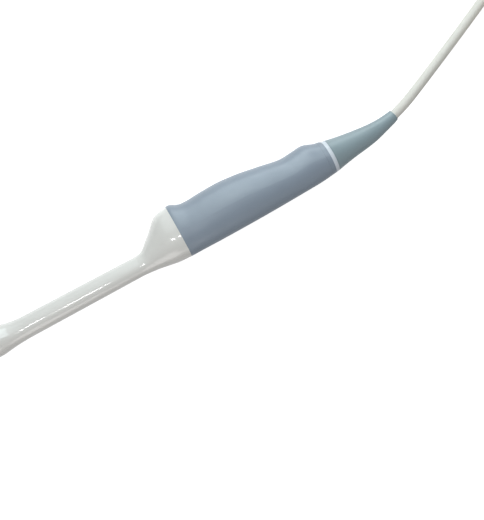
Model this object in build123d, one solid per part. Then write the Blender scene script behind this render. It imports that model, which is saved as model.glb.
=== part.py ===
from build123d import *
import functools
import math
import os

# An endocavity ultrasound probe lying on its side, with its cable and system connector.
# Millimetres. X runs along the probe from the tip towards the cable, Y towards the thumb
# side and Z up. The probe is drawn about its own mid-plane, with x = 0 at the rear edge
# of the ivory shoulder, then raised to lie on the table at z = 0.

# Clearances
FIT = 0.05  # between pieces that seat in each other
RUN = 0.3  # between pieces that move past each other
ROOT = 0.5  # how far a boss or rib reaches into the wall that it stands on
FAR = 60.0  # past every side of the probe, for cuts that go right through it

# Head and array
HEAD_RADIUS = 11.5
HEAD_BARREL = 7.0
HEAD_Y = 2.2
HEAD_WALL = 2.2
FLARE_LENGTH = 25.0
LENS_WIDTH = 11.0
LENS_RISE = 0.6
ARRAY_WIDTH = 7.0
ARRAY_RADIUS = 8.2
PIEZO_THICKNESS = 0.5
MATCHING_THICKNESS = 0.4

# Shaft
SHAFT_LENGTH = 91.0
SHAFT_FRONT_RADIUS = 8.2
SHAFT_REAR_RADIUS = 7.6
SHAFT_FRONT_Y = 0.65
SHAFT_REAR_Y = -0.35
SHAFT_BORE = 5.75
SHIELD_WALL = 0.4
FLEX_WIDTH = 7.0
FLEX_THICKNESS = 0.4
CARRIER_RELIEF_RADIUS = 4.9

# Shoulder
SHOULDER_LENGTH = 36.0
SPIGOT_LENGTH = 7.0
SPIGOT_WALL = 1.8
SEAL_WIDTH = 2.0
SEAL_DEPTH = 0.9
SEAL_SETBACK = 3.0

# Handle
HANDLE_LENGTH = 121.3
HANDLE_WALL = 2.2
COLLAR_TOP = 28.0
COLLAR_BOTTOM = -12.1
COLLAR_DEPTH = 14.8
COLLAR_ROLL = 0.5
END_RADIUS = 12.4
END_Y = 2.9
SEAM_TONGUE = 1.2
SEAM_THICKNESS = 0.7

# Handle electronics
CHASSIS_START = 14.0
CHASSIS_LENGTH = 54.0
CHASSIS_WIDTH = 24.0
CHASSIS_Y = 6.0
CHASSIS_THICKNESS = 1.5
CHASSIS_DROP = 5.0
CHASSIS_CORNER = 2.0
STANDOFF_HEIGHT = 1.4
STANDOFF_RADIUS = 2.2
BOARD_LENGTH = 44.0
BOARD_WIDTH = 17.0
BOARD_THICKNESS = 1.2
SOCKET_LENGTH = 6.0
SOCKET_WIDTH = 12.0
FLEX_SOCKET_WIDTH = 8.0
SOCKET_HEIGHT = 3.0
SCREW_RADIUS = 1.0
SCREW_HEAD_RADIUS = 1.9
SCREW_HEAD_HEIGHT = 1.2
SCREW_LENGTH = 5.0
SCREW_EDGE = 0.4  # share of a head's height
SCREW_RECESS = 0.8  # share of a screw's radius
BOARD_SCREW_LENGTH = 2.4
BOSS_RADIUS = 2.6
BOSS_INSET = 2.8

# Cable, its clamp, the end ring and the strain relief
CABLE_RADIUS = 3.6
BUNDLE_RADIUS = 2.8
CLAMP_SETBACK = 25.0
CLAMP_LENGTH = 9.0
CLAMP_EAR_MARGIN = 0.4
CLAMP_THICKNESS = 2.4
RING_WIDTH = 2.8
RING_TAPER = 0.3
RING_SPIGOT = 5.0
RING_WALL = 1.7
RELIEF_LENGTH = 54.5
RELIEF_STRAIGHT = 24.0
RELIEF_TURN = 15.0
RELIEF_TIP_RADIUS = 4.3
RELIEF_COLLAR = 2.0
RELIEF_COLLAR_RIM = 0.9

# Coil of spare cable
COIL_RADIUS = 36.0
COIL_LAYERS = 4
COIL_COLUMNS = 2
COIL_ENTRY_ANGLE = 115.0
COIL_EXIT_ANGLE = 50.0
COIL_ENTRY_STUB = 24.0
COIL_EXIT_STUB = 24.0
CABLE_LEAD = 10.0
CABLE_LANDING = 21.0
TAIL_LEAD = 10.0
ARC_SHARE = 0.45  # of the shorter run beside a bend, taken up by the bend's arc

# System connector
PLUG_LENGTH = 96.0
PLUG_DEPTH = 44.0
PLUG_HEIGHT = 40.0
PLUG_BACK = 20.0
PLUG_WALL = 2.4
PLUG_CORNER = 5.0
PLUG_EDGE = 2.5
PLUG_SEAM_WIDTH = 0.6
PLUG_SEAM_DEPTH = 0.6
GRIP_LENGTH = 50.0
GRIP_DEPTH = 20.0
GRIP_CORNER = 5.0
GRIP_SINK = 1.0
GRIP_RIBS = 5
GRIP_RIB_PITCH = 3.6
GRIP_RIB_WIDTH = 1.4
BOOT_LENGTH = 28.0
BOOT_MIDDLE = 0.35  # share of the way from the tip's radius to the housing's, half way along
BOOT_RADIUS = 8.0
BOOT_TIP_RADIUS = 4.6
BOOT_NECK_RADIUS = 6.5
BOOT_FLANGE = 2.0
BOOT_FLANGE_RIM = 2.0
BOOT_GROOVES = 4
BOOT_GROOVE_PITCH = 4.5
BOOT_GROOVE_WIDTH = 1.6
BOOT_GROOVE_DEPTH = 0.8
SHROUD_LENGTH = 80.0
SHROUD_HEIGHT = 28.0
SHROUD_WALL = 1.6
SHROUD_REACH = 13.0
SHROUD_FLANGE = 2.0
SHROUD_RIM = 3.0
BLOCK_DEPTH = 12.0
BLOCK_FACE = 2.0
PIN_ROWS = 4
PIN_COLUMNS = 12
PIN_PITCH = 4.6
PIN_SIZE = 0.9
PIN_REACH = 2.5
PIN_KEEP_OUT = 9.0
PLUG_BOARD_THICKNESS = 1.6
PLUG_BOARD_INSET = 3.0
PLUG_BOARD_GAP = 1.5
PLUG_RAIL_HEIGHT = 3.0
PLUG_RAIL_WIDTH = 1.2
PLUG_RAIL_SPANS = [(0.30, 0.42), (0.58, 0.70)]  # shares of the connector's length
LOOM_END = 0.36  # share of the connector's length
PLUG_SCREW_RADIUS = 1.25
PLUG_SCREW_HEAD_RADIUS = 2.3
PLUG_SCREW_HEAD_HEIGHT = 1.8
PLUG_SCREW_LENGTH = 26.0
PLUG_BOSS_RADIUS = 3.0
PLUG_BOSS_INSET = 4.0
FERRULE_LENGTH = 10.0
FERRULE_WALL = 0.9

# Rotary lock
LOCK_RADIUS = 3.0
LOCK_BAR_LENGTH = 14.0
LOCK_BAR_WIDTH = 4.0
LOCK_BAR_DEPTH = 3.0
LOCK_BAR_CORNER = 1.2
BUSH_WALL = 1.2
BUSH_RIM = 1.5
BUSH_FLANGE = 1.0
KNOB_RADIUS = 15.0
KNOB_THICKNESS = 5.0
KNOB_EDGE = 1.6
KNOB_FLUTES = 16
KNOB_FLUTE_RADIUS = 2.2
KNOB_FLUTE_DEPTH = 0.8
KNOB_GUARD_WALL = 1.4
KNOB_GUARD_HEIGHT = 2.6
KNOB_GRIP_LENGTH = 27.0
KNOB_GRIP_HEIGHT = 8.0
KNOB_GRIP_WIDTH = 7.0
KNOB_GRIP_CORNER = 3.15
KNOB_GRIP_EDGE = 1.4
KNOB_WELL_RADIUS = 2.2
KNOB_SCREW_LENGTH = 6.0

# Outlines as shares and sizes. Shoulder rows: share of its length, then shares of the way
# from the shaft's section to the collar's on the thumb side, on the far side and in depth.
SHOULDER_RISE = [
    (0.08, 0.02, 0.06, 0.03),
    (0.17, 0.08, 0.13, 0.10),
    (0.27, 0.23, 0.21, 0.23),
    (0.42, 0.45, 0.42, 0.45),
    (0.57, 0.71, 0.64, 0.67),
    (0.68, 0.875, 0.82, 0.82),
    (0.80, 0.96, 0.93, 0.93),
]
# Handle rows: share of its length, thumb side, far side and half depth.
HANDLE_OUTLINE = [
    (0.03, 27.7, -12.1, 14.9),
    (0.055, 26.6, -12.1, 14.9),
    (0.085, 25.1, -12.1, 15.0),
    (0.13, 24.8, -12.2, 15.2),
    (0.21, 25.4, -12.3, 15.4),
    (0.32, 25.7, -12.3, 15.5),
    (0.45, 24.5, -12.2, 15.2),
    (0.60, 21.5, -11.9, 14.4),
    (0.75, 18.6, -11.4, 13.3),
    (0.88, 19.7, -10.9, 12.9),
    (0.95, 17.1, -10.2, 12.6),
    (0.975, 16.0, -9.8, 12.5),
]
# Flare rows: share of its length, share of the way from the shaft's radius to the head's.
FLARE_RISE = [(0.15, 0.03), (0.40, 0.20), (0.68, 0.55), (0.88, 0.90)]
# Strain relief rows: share of its length, share of the way from the ring to the tip radius.
RELIEF_TAPER = [(0.08, 0.12), (0.22, 0.29), (0.36, 0.43), (0.52, 0.57), (0.70, 0.75), (0.87, 0.90)]

# Cable route after its straight lead, as steps from the exit point along X and Y, and the
# share of its drop to the table.
CABLE_ROUTE = [
    (27.4, 10.0, 0.20),
    (45.8, 17.8, 0.62),
    (65.1, 26.2, 0.93),
    (85.1, 35.2, 1.0),
]
# Cable route from the coil to the connector, as steps from the end of the coil's stub along
# X and Y, and the share of its rise to the boot. The last step runs straight into the boot.
TAIL_ROUTE = [
    (17.5, -11.4, 0.4),
    (28.3, -13.3, 1.0),
    (40.3, -13.3, 1.0),
]

ROUND = 0.5523  # handle share with which four Bezier quarters make a circle
HANDLE_FULLNESS = 0.60
SHOULDER_SECTIONS = 10
HANDLE_SECTIONS = 26

# Places that follow from the sizes
SHOULDER_START = -SHOULDER_LENGTH
SHAFT_START = SHOULDER_START - SHAFT_LENGTH
FLARE_START = SHAFT_START - FLARE_LENGTH
DOME_X = FLARE_START - HEAD_BARREL
HEAD_BORE = HEAD_RADIUS - HEAD_WALL
ARRAY_FACE = ARRAY_RADIUS + PIEZO_THICKNESS + MATCHING_THICKNESS
CARRIER_END = FLARE_START - FIT
CARRIER_LENGTH = CARRIER_END - DOME_X
RING_END = HANDLE_LENGTH + RING_WIDTH
RING_BORE = END_RADIUS - HANDLE_WALL - FIT - RING_WALL
JACKET_START = HANDLE_LENGTH - CLAMP_SETBACK
CHASSIS_END = CHASSIS_START + CHASSIS_LENGTH
CHASSIS_BOTTOM = -CHASSIS_DROP
CHASSIS_TOP = CHASSIS_BOTTOM + CHASSIS_THICKNESS
BOARD_BOTTOM = CHASSIS_TOP + STANDOFF_HEIGHT
BOARD_TOP = BOARD_BOTTOM + BOARD_THICKNESS
BOARD_START = CHASSIS_START + (CHASSIS_LENGTH - BOARD_LENGTH) / 2
BOARD_END = BOARD_START + BOARD_LENGTH
ARCH_RADIUS = CABLE_RADIUS + FIT + CLAMP_THICKNESS
CLAMP_HALF = ARCH_RADIUS + 2 * (SCREW_HEAD_RADIUS + CLAMP_EAR_MARGIN)
PITCH = 2 * CABLE_RADIUS
COIL_OUTER = COIL_RADIUS + (COIL_COLUMNS - 1) / 2 * PITCH
COIL_HEIGHT = COIL_LAYERS * PITCH
COIL_CORNER = 0.95 * CABLE_RADIUS


def across(x, y=0.0, z=0.0):
    """A plane across the probe, with its own X towards the thumb side and its own Y up."""
    return Plane(origin=(x, y, z), x_dir=(0, 1, 0), z_dir=(1, 0, 0))


def round_face(x, y, radius):
    """A round section in four arcs, so that it lofts cleanly into an oval one."""
    arcs = [CenterArc((0, 0), radius, start, 90) for start in (0, 90, 180, 270)]
    return across(x, y) * Face(Wire(arcs))


def oval_face(x, top, bottom, depth, fullness):
    """An oval section in four Bezier quarters. Fullness fills its corners out."""
    half = (top - bottom) / 2
    corners = [(half, 0), (0, depth), (-half, 0), (0, -depth)]
    quarters = []
    for (y1, z1), (y2, z2) in zip(corners, corners[1:] + corners[:1]):
        first_handle = (y1 + fullness * y2, z1 + fullness * z2)
        second_handle = (y2 + fullness * y1, z2 + fullness * z1)
        quarters.append(Bezier((y1, z1), first_handle, second_handle, (y2, z2)))
    return across(x, (top + bottom) / 2) * Face(Wire(quarters))


def blend(start, end, share):
    """The value that lies a share of the way from start to end."""
    return start + (end - start) * share


def curve_through(points):
    """A smooth curve through points (along, height), which doesn't overshoot them."""
    spans = list(zip(points, points[1:]))
    rates = [(h2 - h1) / (a2 - a1) for (a1, h1), (a2, h2) in spans]
    slopes = [rates[0]]
    for before, after in zip(rates, rates[1:]):
        slopes.append(2 * before * after / (before + after) if before * after > 0 else 0)
    slopes.append(rates[-1])

    def height(along):
        number = sum(1 for point in points[1:-1] if point[0] <= along)
        (a1, h1), (a2, h2) = spans[number]
        step = a2 - a1
        t = (along - a1) / step
        start = (1 + 2 * t) * (1 - t) ** 2 * h1 + t * (1 - t) ** 2 * step * slopes[number]
        return start + t * t * (3 - 2 * t) * h2 + t * t * (t - 1) * step * slopes[number + 1]

    return height


def rod(x, y, radius, length):
    """A cylinder along the probe, starting at x."""
    return extrude(across(x, y) * Circle(radius), length)


def post(x, y, radius, bottom, top):
    """An upright cylinder."""
    return Pos(x, y, bottom) * extrude(Circle(radius), top - bottom)


def block(x1, x2, y1, y2, z1, z2):
    """A box between two corners."""
    centre = Pos((x1 + x2) / 2, (y1 + y2) / 2, (z1 + z2) / 2)
    return centre * Box(x2 - x1, y2 - y1, z2 - z1)


def upright_screw(x, y, head_bottom, radius, head_radius, head_height, length):
    """A pan-head screw pointing down, with a driver recess in its head."""
    head = post(x, y, head_radius, head_bottom, head_bottom + head_height)
    head = fillet(head.edges().group_by(Axis.Z)[-1], head_height * SCREW_EDGE)
    recess = radius * SCREW_RECESS
    recess_floor = head_bottom + head_height / 2
    shank = post(x, y, radius, head_bottom - length, head_bottom)
    return head + shank - post(x, y, recess, recess_floor, head_bottom + head_height)


# Ivory housing

def outline_curves(rows):
    """A smooth curve along the length for each size in an outline's rows."""
    return [curve_through([(row[0], row[column]) for row in rows]) for column in (1, 2, 3)]


def shaft_centre(x):
    """The shaft's axis leans slightly towards the thumb side at the front."""
    return blend(SHAFT_FRONT_Y, SHAFT_REAR_Y, (x - SHAFT_START) / SHAFT_LENGTH)


def shaft_span(radius_at_front, radius_at_rear, start, end):
    """A round bar that follows the shaft's axis between two places along it."""
    front = round_face(start, shaft_centre(start), radius_at_front)
    rear = round_face(end, shaft_centre(end), radius_at_rear)
    return loft([front, rear], ruled=True)


def flare_body():
    """The swelling from the head's barrel down to the shaft."""
    sections = [round_face(SHAFT_START, SHAFT_FRONT_Y, SHAFT_FRONT_RADIUS)]
    for along, rise in FLARE_RISE:
        x = SHAFT_START - FLARE_LENGTH * along
        radius = blend(SHAFT_FRONT_RADIUS, HEAD_RADIUS, rise)
        sections.append(round_face(x, blend(SHAFT_FRONT_Y, HEAD_Y, rise), radius))
    sections.append(round_face(FLARE_START, HEAD_Y, HEAD_RADIUS))
    return loft(sections)


def shoulder_body(front_radius, rear_inset):
    """The shoulder from a round section on the shaft to the collar, less an inset."""
    front_inset = SHAFT_REAR_RADIUS - front_radius
    top = SHAFT_REAR_Y + SHAFT_REAR_RADIUS
    bottom = SHAFT_REAR_Y - SHAFT_REAR_RADIUS
    rows = [(0, 0, 0, 0)] + SHOULDER_RISE + [(1, 1, 1, 1)]
    top_rise, bottom_rise, depth_rise = outline_curves(rows)
    sections = [round_face(SHOULDER_START, SHAFT_REAR_Y, front_radius)]
    for number in range(1, SHOULDER_SECTIONS + 1):
        along = number / SHOULDER_SECTIONS
        inset = blend(front_inset, rear_inset, along)
        sections.append(oval_face(
            SHOULDER_START + SHOULDER_LENGTH * along,
            blend(top, COLLAR_TOP, top_rise(along)) - inset,
            blend(bottom, COLLAR_BOTTOM, bottom_rise(along)) + inset,
            blend(SHAFT_REAR_RADIUS, COLLAR_DEPTH, depth_rise(along)) - inset,
            blend(ROUND, HANDLE_FULLNESS, along)))
    return loft(sections)


@functools.cache
def handle_body(inset):
    """The handle's outer form, or the form that lies an inset inside it. One section more in
    front of the collar keeps the loft smooth there, and is cut off."""
    before = (-1 / HANDLE_SECTIONS, COLLAR_TOP - COLLAR_ROLL, COLLAR_BOTTOM, COLLAR_DEPTH)
    collar = (0, COLLAR_TOP, COLLAR_BOTTOM, COLLAR_DEPTH)
    end = (1, END_Y + END_RADIUS, END_Y - END_RADIUS, END_RADIUS)
    top, bottom, depth = outline_curves([before, collar] + HANDLE_OUTLINE + [end])
    sections = []
    for number in range(-1, HANDLE_SECTIONS):
        along = number / HANDLE_SECTIONS
        sections.append(oval_face(
            HANDLE_LENGTH * along,
            top(along) - inset,
            bottom(along) + inset,
            depth(along) - inset,
            blend(HANDLE_FULLNESS, ROUND, along)))
    sections.append(round_face(HANDLE_LENGTH, END_Y, END_RADIUS - inset))
    return loft(sections) & block(0, HANDLE_LENGTH, -FAR, FAR, -FAR, FAR)


def axis_height():
    """How high the mid-plane lies when the handle's deepest place is on the table."""
    return -handle_body(0).bounding_box().min.Z


def handle_slice(outer_inset, inner_inset, x1, x2):
    """A band of the handle's wall between two insets and two places along it."""
    slab = block(x1, x2, -FAR, FAR, -FAR, FAR)
    return (handle_body(outer_inset) & slab) - handle_body(inner_inset)


def head_slot(width):
    """The window for the lens, open to the front and to both sides."""
    reach = HEAD_RADIUS + LENS_RISE
    return block(DOME_X - reach, DOME_X, HEAD_Y - reach, HEAD_Y + reach, -width / 2, width / 2)


def head_form(radius):
    """The head's round front and straight barrel, or the hollow in them."""
    dome = Pos(DOME_X, HEAD_Y, 0) * Sphere(radius)
    dome = dome & block(DOME_X - HEAD_RADIUS, DOME_X, -FAR, FAR, -FAR, FAR)
    return dome + rod(DOME_X, HEAD_Y, radius, HEAD_BARREL)


def shaft_housing():
    """Head, shaft and shoulder: one moulding, with its spigot inside the handle."""
    shaft = shaft_span(SHAFT_FRONT_RADIUS, SHAFT_REAR_RADIUS, SHAFT_START, SHOULDER_START)
    outer = head_form(HEAD_RADIUS) + flare_body() + shaft
    outer = outer + shoulder_body(SHAFT_REAR_RADIUS, 0)

    flare_core = loft([
        round_face(FLARE_START, HEAD_Y, HEAD_BORE),
        round_face(SHAFT_START, SHAFT_FRONT_Y, SHAFT_BORE),
    ], ruled=True)
    shaft_core = shaft_span(SHAFT_BORE, SHAFT_BORE, SHAFT_START, SHOULDER_START)
    spigot_outside = HANDLE_WALL + FIT
    spigot_inside = spigot_outside + SPIGOT_WALL
    housing = outer - head_form(HEAD_BORE) - flare_core - shaft_core
    housing = housing - shoulder_body(SHAFT_BORE, spigot_inside) - head_slot(LENS_WIDTH)

    spigot = handle_slice(spigot_outside, spigot_inside, 0, SPIGOT_LENGTH)
    groove = handle_slice(0, spigot_outside + SEAL_DEPTH, SEAL_SETBACK, SEAL_SETBACK + SEAL_WIDTH)
    return housing + (spigot - groove)


def shoulder_seal():
    """The gasket in the spigot's groove, which the shells close on."""
    start = SEAL_SETBACK + FIT
    end = SEAL_SETBACK + SEAL_WIDTH - FIT
    return handle_slice(HANDLE_WALL + FIT / 2, HANDLE_WALL + SEAL_DEPTH, start, end)


# Array in the head

def array_ring(inner, outer, width):
    """A curved strip about the head's centre, facing forwards."""
    strip = extrude(Circle(outer) - Circle(inner), width / 2, both=True)
    front = block(DOME_X - outer, DOME_X, HEAD_Y - outer, HEAD_Y + outer, -width, width)
    return Pos(DOME_X, HEAD_Y, 0) * strip & front


def acoustic_lens():
    """A rubber band over the array, proud at the tip and flush at the sides."""
    bulge = Pos(DOME_X - LENS_RISE, HEAD_Y, 0) * Sphere(HEAD_RADIUS - FIT)
    lens = bulge & head_slot(LENS_WIDTH - 2 * FIT)
    well = Pos(DOME_X, HEAD_Y, 0) * extrude(Circle(ARRAY_FACE + FIT), ARRAY_WIDTH / 2 + FIT, both=True)
    return lens - well


def backing_block():
    """The absorbing block that the array is bonded to."""
    disc = Pos(DOME_X, HEAD_Y, 0) * extrude(Circle(ARRAY_RADIUS), ARRAY_WIDTH / 2, both=True)
    return disc & block(DOME_X - HEAD_RADIUS, DOME_X, -FAR, FAR, -FAR, FAR)


def array_carrier():
    """The plug in the head's bore that the array stack and the lens sit on."""
    plug = rod(DOME_X, HEAD_Y, HEAD_BORE - FIT, CARRIER_LENGTH)
    slot_half = FLEX_THICKNESS / 2 + FIT
    half_width = FLEX_WIDTH / 2 + FIT
    slot = block(DOME_X, CARRIER_END, HEAD_Y - half_width, HEAD_Y + half_width, -slot_half, slot_half)
    relief = rod(DOME_X + CARRIER_LENGTH / 2, HEAD_Y, CARRIER_RELIEF_RADIUS, CARRIER_LENGTH / 2)
    return plug - slot - relief


def flex_circuit():
    """The ribbon that carries the array's signals down the shaft to the board."""
    line = [
        (DOME_X, HEAD_Y),
        (CARRIER_END, HEAD_Y),
        (SHAFT_START, SHAFT_FRONT_Y),
        (SHOULDER_START, SHAFT_REAR_Y),
        (BOARD_START - SOCKET_LENGTH, CHASSIS_Y),
        (BOARD_START + SOCKET_LENGTH / 2, CHASSIS_Y),
    ]
    upper = [(x, y + FLEX_WIDTH / 2) for x, y in line]
    lower = [(x, y - FLEX_WIDTH / 2) for x, y in reversed(line)]
    outline = make_face(Polyline(*upper, *lower, close=True))
    return extrude(outline, FLEX_THICKNESS / 2, both=True)


def shield_tube():
    """The thin metal screen in the shaft's bore."""
    outside = SHAFT_BORE - FIT
    inside = outside - SHIELD_WALL
    tube = shaft_span(outside, outside, SHAFT_START, SHOULDER_START)
    return tube - shaft_span(inside, inside, SHAFT_START, SHOULDER_START)


# Handle

def chassis_screw_places():
    """Four places near the chassis's corners."""
    half = CHASSIS_WIDTH / 2 - BOSS_INSET
    return [
        (x, CHASSIS_Y + side * half)
        for x in (CHASSIS_START + BOSS_INSET, CHASSIS_END - BOSS_INSET)
        for side in (-1, 1)
    ]


def board_screw_places():
    """Four places near the board's corners, on the chassis's standoffs."""
    half = BOARD_WIDTH / 2 - STANDOFF_RADIUS
    return [
        (x, CHASSIS_Y + side * half)
        for x in (BOARD_START + STANDOFF_RADIUS, BOARD_END - STANDOFF_RADIUS)
        for side in (-1, 1)
    ]


def clamp_screw_places():
    """One screw on each side of the cable."""
    half = (ARCH_RADIUS + CLAMP_HALF) / 2
    x = JACKET_START + CLAMP_LENGTH / 2
    return [(x, END_Y - half), (x, END_Y + half)]


def seam_band(slack, height):
    """The tongue along the shells' seam, or its groove when given some slack."""
    outer_inset = (HANDLE_WALL - SEAM_THICKNESS) / 2 - slack
    inner_inset = (HANDLE_WALL + SEAM_THICKNESS) / 2 + slack
    band = handle_body(outer_inset) - handle_body(inner_inset)
    ends = block(SPIGOT_LENGTH, HANDLE_LENGTH - RING_SPIGOT, -FAR, FAR, -ROOT, height)
    return band & ends


def shell_half(side):
    """One half of the handle's wall, with its half of the round seat for the end ring."""
    wall = handle_body(0) - handle_body(HANDLE_WALL)
    wall -= rod(HANDLE_LENGTH - RING_SPIGOT, END_Y, END_RADIUS - HANDLE_WALL, RING_SPIGOT)
    return wall & side


def handle_shell_upper():
    """The upper half shell, with the seam's groove and four posts that hold the chassis down."""
    outer = handle_body(0)
    above = block(0, HANDLE_LENGTH, -FAR, FAR, 0, FAR)
    shell = shell_half(above) - seam_band(FIT, SEAM_TONGUE + FIT)
    posts = Part()
    for x, y in chassis_screw_places():
        posts += post(x, y, BOSS_RADIUS, CHASSIS_TOP + SCREW_HEAD_HEIGHT + FIT, FAR)
    return shell + (posts & outer & above)


def handle_shell_lower():
    """The lower half shell, with the seam's tongue, the screw bosses and the cable's cradle."""
    outer = handle_body(0)
    below = block(0, HANDLE_LENGTH, -FAR, FAR, -FAR, 0)
    shell = shell_half(below)
    tongue = seam_band(0, SEAM_TONGUE)
    holds = Part()
    for x, y in chassis_screw_places():
        holds += post(x, y, BOSS_RADIUS, -FAR, CHASSIS_BOTTOM)
    clamp_end = JACKET_START + CLAMP_LENGTH
    holds += block(JACKET_START, clamp_end, END_Y - CLAMP_HALF, END_Y + CLAMP_HALF, -FAR, 0)
    shell = shell + tongue + (holds & outer & below)
    shell = shell - rod(JACKET_START, END_Y, CABLE_RADIUS + FIT, CLAMP_LENGTH)
    for x, y in chassis_screw_places():
        bottom = CHASSIS_TOP - SCREW_LENGTH - FIT
        shell -= post(x, y, SCREW_RADIUS + FIT, bottom, CHASSIS_BOTTOM)
    for x, y in clamp_screw_places():
        shell -= post(x, y, SCREW_RADIUS + FIT, CLAMP_THICKNESS - SCREW_LENGTH - FIT, 0)
    return shell


def handle_chassis():
    """The metal plate with four standoffs for the board."""
    y1 = CHASSIS_Y - CHASSIS_WIDTH / 2
    y2 = CHASSIS_Y + CHASSIS_WIDTH / 2
    plate = block(CHASSIS_START, CHASSIS_END, y1, y2, CHASSIS_BOTTOM, CHASSIS_TOP)
    plate = fillet(plate.edges().filter_by(Axis.Z), CHASSIS_CORNER)
    for x, y in board_screw_places():
        plate += post(x, y, STANDOFF_RADIUS, CHASSIS_TOP, BOARD_BOTTOM)
    for x, y in board_screw_places():
        plate -= post(x, y, SCREW_RADIUS + FIT, BOARD_TOP - BOARD_SCREW_LENGTH - FIT, BOARD_BOTTOM)
    for x, y in chassis_screw_places():
        plate -= post(x, y, SCREW_RADIUS + FIT, CHASSIS_BOTTOM, CHASSIS_TOP)
    return plate


def interposer_board():
    """The board between the array's ribbon and the cable's wires."""
    y1 = CHASSIS_Y - BOARD_WIDTH / 2
    y2 = CHASSIS_Y + BOARD_WIDTH / 2
    board = block(BOARD_START, BOARD_END, y1, y2, BOARD_BOTTOM, BOARD_TOP)
    for x, y in board_screw_places():
        board -= post(x, y, SCREW_RADIUS + FIT, BOARD_BOTTOM, BOARD_TOP)
    return board


def board_sockets():
    """The ribbon's socket at the front of the board and the wires' socket at its rear."""
    y1 = CHASSIS_Y - SOCKET_WIDTH / 2
    y2 = CHASSIS_Y + SOCKET_WIDTH / 2
    clear = STANDOFF_RADIUS + SCREW_HEAD_RADIUS + FIT
    top = BOARD_TOP + SOCKET_HEIGHT
    front = block(BOARD_START, BOARD_START + SOCKET_LENGTH, CHASSIS_Y - FLEX_SOCKET_WIDTH / 2,
                  CHASSIS_Y + FLEX_SOCKET_WIDTH / 2, BOARD_TOP, top)
    half_slot = FLEX_THICKNESS / 2 + FIT
    half_width = FLEX_WIDTH / 2 + FIT
    front -= block(BOARD_START, BOARD_START + SOCKET_LENGTH / 2 + FIT, CHASSIS_Y - half_width,
                   CHASSIS_Y + half_width, -half_slot, half_slot)
    rear = block(BOARD_END - SOCKET_LENGTH - clear, BOARD_END - clear, y1, y2, BOARD_TOP, top)
    return [front, rear]


def chassis_screws():
    sizes = (SCREW_RADIUS, SCREW_HEAD_RADIUS, SCREW_HEAD_HEIGHT, SCREW_LENGTH)
    return [upright_screw(x, y, CHASSIS_TOP, *sizes) for x, y in chassis_screw_places()]


def board_screws():
    sizes = (SCREW_RADIUS, SCREW_HEAD_RADIUS, SCREW_HEAD_HEIGHT, BOARD_SCREW_LENGTH)
    return [upright_screw(x, y, BOARD_TOP, *sizes) for x, y in board_screw_places()]


def clamp_screws():
    top = CLAMP_THICKNESS
    sizes = (SCREW_RADIUS, SCREW_HEAD_RADIUS, SCREW_HEAD_HEIGHT, SCREW_LENGTH)
    return [upright_screw(x, y, top, *sizes) for x, y in clamp_screw_places()]


def cable_clamp():
    """The saddle that holds the cable's jacket down in its cradle."""
    end = JACKET_START + CLAMP_LENGTH
    y1 = END_Y - CLAMP_HALF
    y2 = END_Y + CLAMP_HALF
    saddle = block(JACKET_START, end, y1, y2, 0, CLAMP_THICKNESS)
    arch = rod(JACKET_START, END_Y, ARCH_RADIUS, CLAMP_LENGTH)
    arch = arch & block(JACKET_START, end, y1, y2, 0, ARCH_RADIUS)
    saddle = saddle + arch - rod(JACKET_START, END_Y, CABLE_RADIUS + FIT, CLAMP_LENGTH)
    for x, y in clamp_screw_places():
        saddle -= post(x, y, SCREW_RADIUS + FIT, 0, CLAMP_THICKNESS)
    return saddle


def coax_bundle():
    """The bare wires between the jacket's end and the board."""
    clear = STANDOFF_RADIUS + SCREW_HEAD_RADIUS + FIT
    start = BOARD_END - clear
    height = BOARD_TOP + SOCKET_HEIGHT / 2
    path = Spline(
        [(start, CHASSIS_Y, height), (JACKET_START, END_Y, 0)],
        tangents=[(1, 0, 0), (1, 0, 0)])
    return sweep(across(start, CHASSIS_Y, height) * Circle(SOCKET_HEIGHT / 2), path=path)


# Rear end of the probe

def end_ring():
    """The white ring that closes the shells and holds the strain relief."""
    spigot_radius = END_RADIUS - HANDLE_WALL - FIT
    band = loft([
        across(HANDLE_LENGTH, END_Y) * Circle(END_RADIUS),
        across(RING_END, END_Y) * Circle(END_RADIUS - RING_TAPER),
    ])
    band = fillet(band.edges().group_by(Axis.X)[-1], RING_TAPER)
    spigot = rod(HANDLE_LENGTH - RING_SPIGOT, END_Y, spigot_radius, RING_SPIGOT)
    bore = rod(HANDLE_LENGTH - RING_SPIGOT, END_Y, RING_BORE, RING_SPIGOT + RING_WIDTH)
    return band + spigot - bore


def relief_plane(distance):
    """The plane across the strain relief at a distance behind the ring, along its bent axis."""
    bend_length = RELIEF_LENGTH - RELIEF_STRAIGHT
    bend_radius = bend_length / math.radians(RELIEF_TURN)
    turn = max(distance - RELIEF_STRAIGHT, 0) / bend_radius
    x = RING_END + min(distance, RELIEF_STRAIGHT) + bend_radius * math.sin(turn)
    y = END_Y + bend_radius * (1 - math.cos(turn))
    heading = (math.cos(turn), math.sin(turn), 0)
    return Plane(origin=(x, y, 0), x_dir=(-heading[1], heading[0], 0), z_dir=heading)


def relief_path(start):
    """The relief's axis from a place inside the handle to its tip."""
    bend = relief_plane(RELIEF_STRAIGHT).origin
    bend_middle = relief_plane((RELIEF_STRAIGHT + RELIEF_LENGTH) / 2).origin
    tip = relief_plane(RELIEF_LENGTH).origin
    return Wire([Line((start, END_Y, 0), bend), ThreePointArc(bend, bend_middle, tip)])


def bent_bar(start, radius):
    """A bar of one radius along the relief's axis."""
    return sweep(across(start, END_Y) * Circle(radius), path=relief_path(start))


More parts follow.
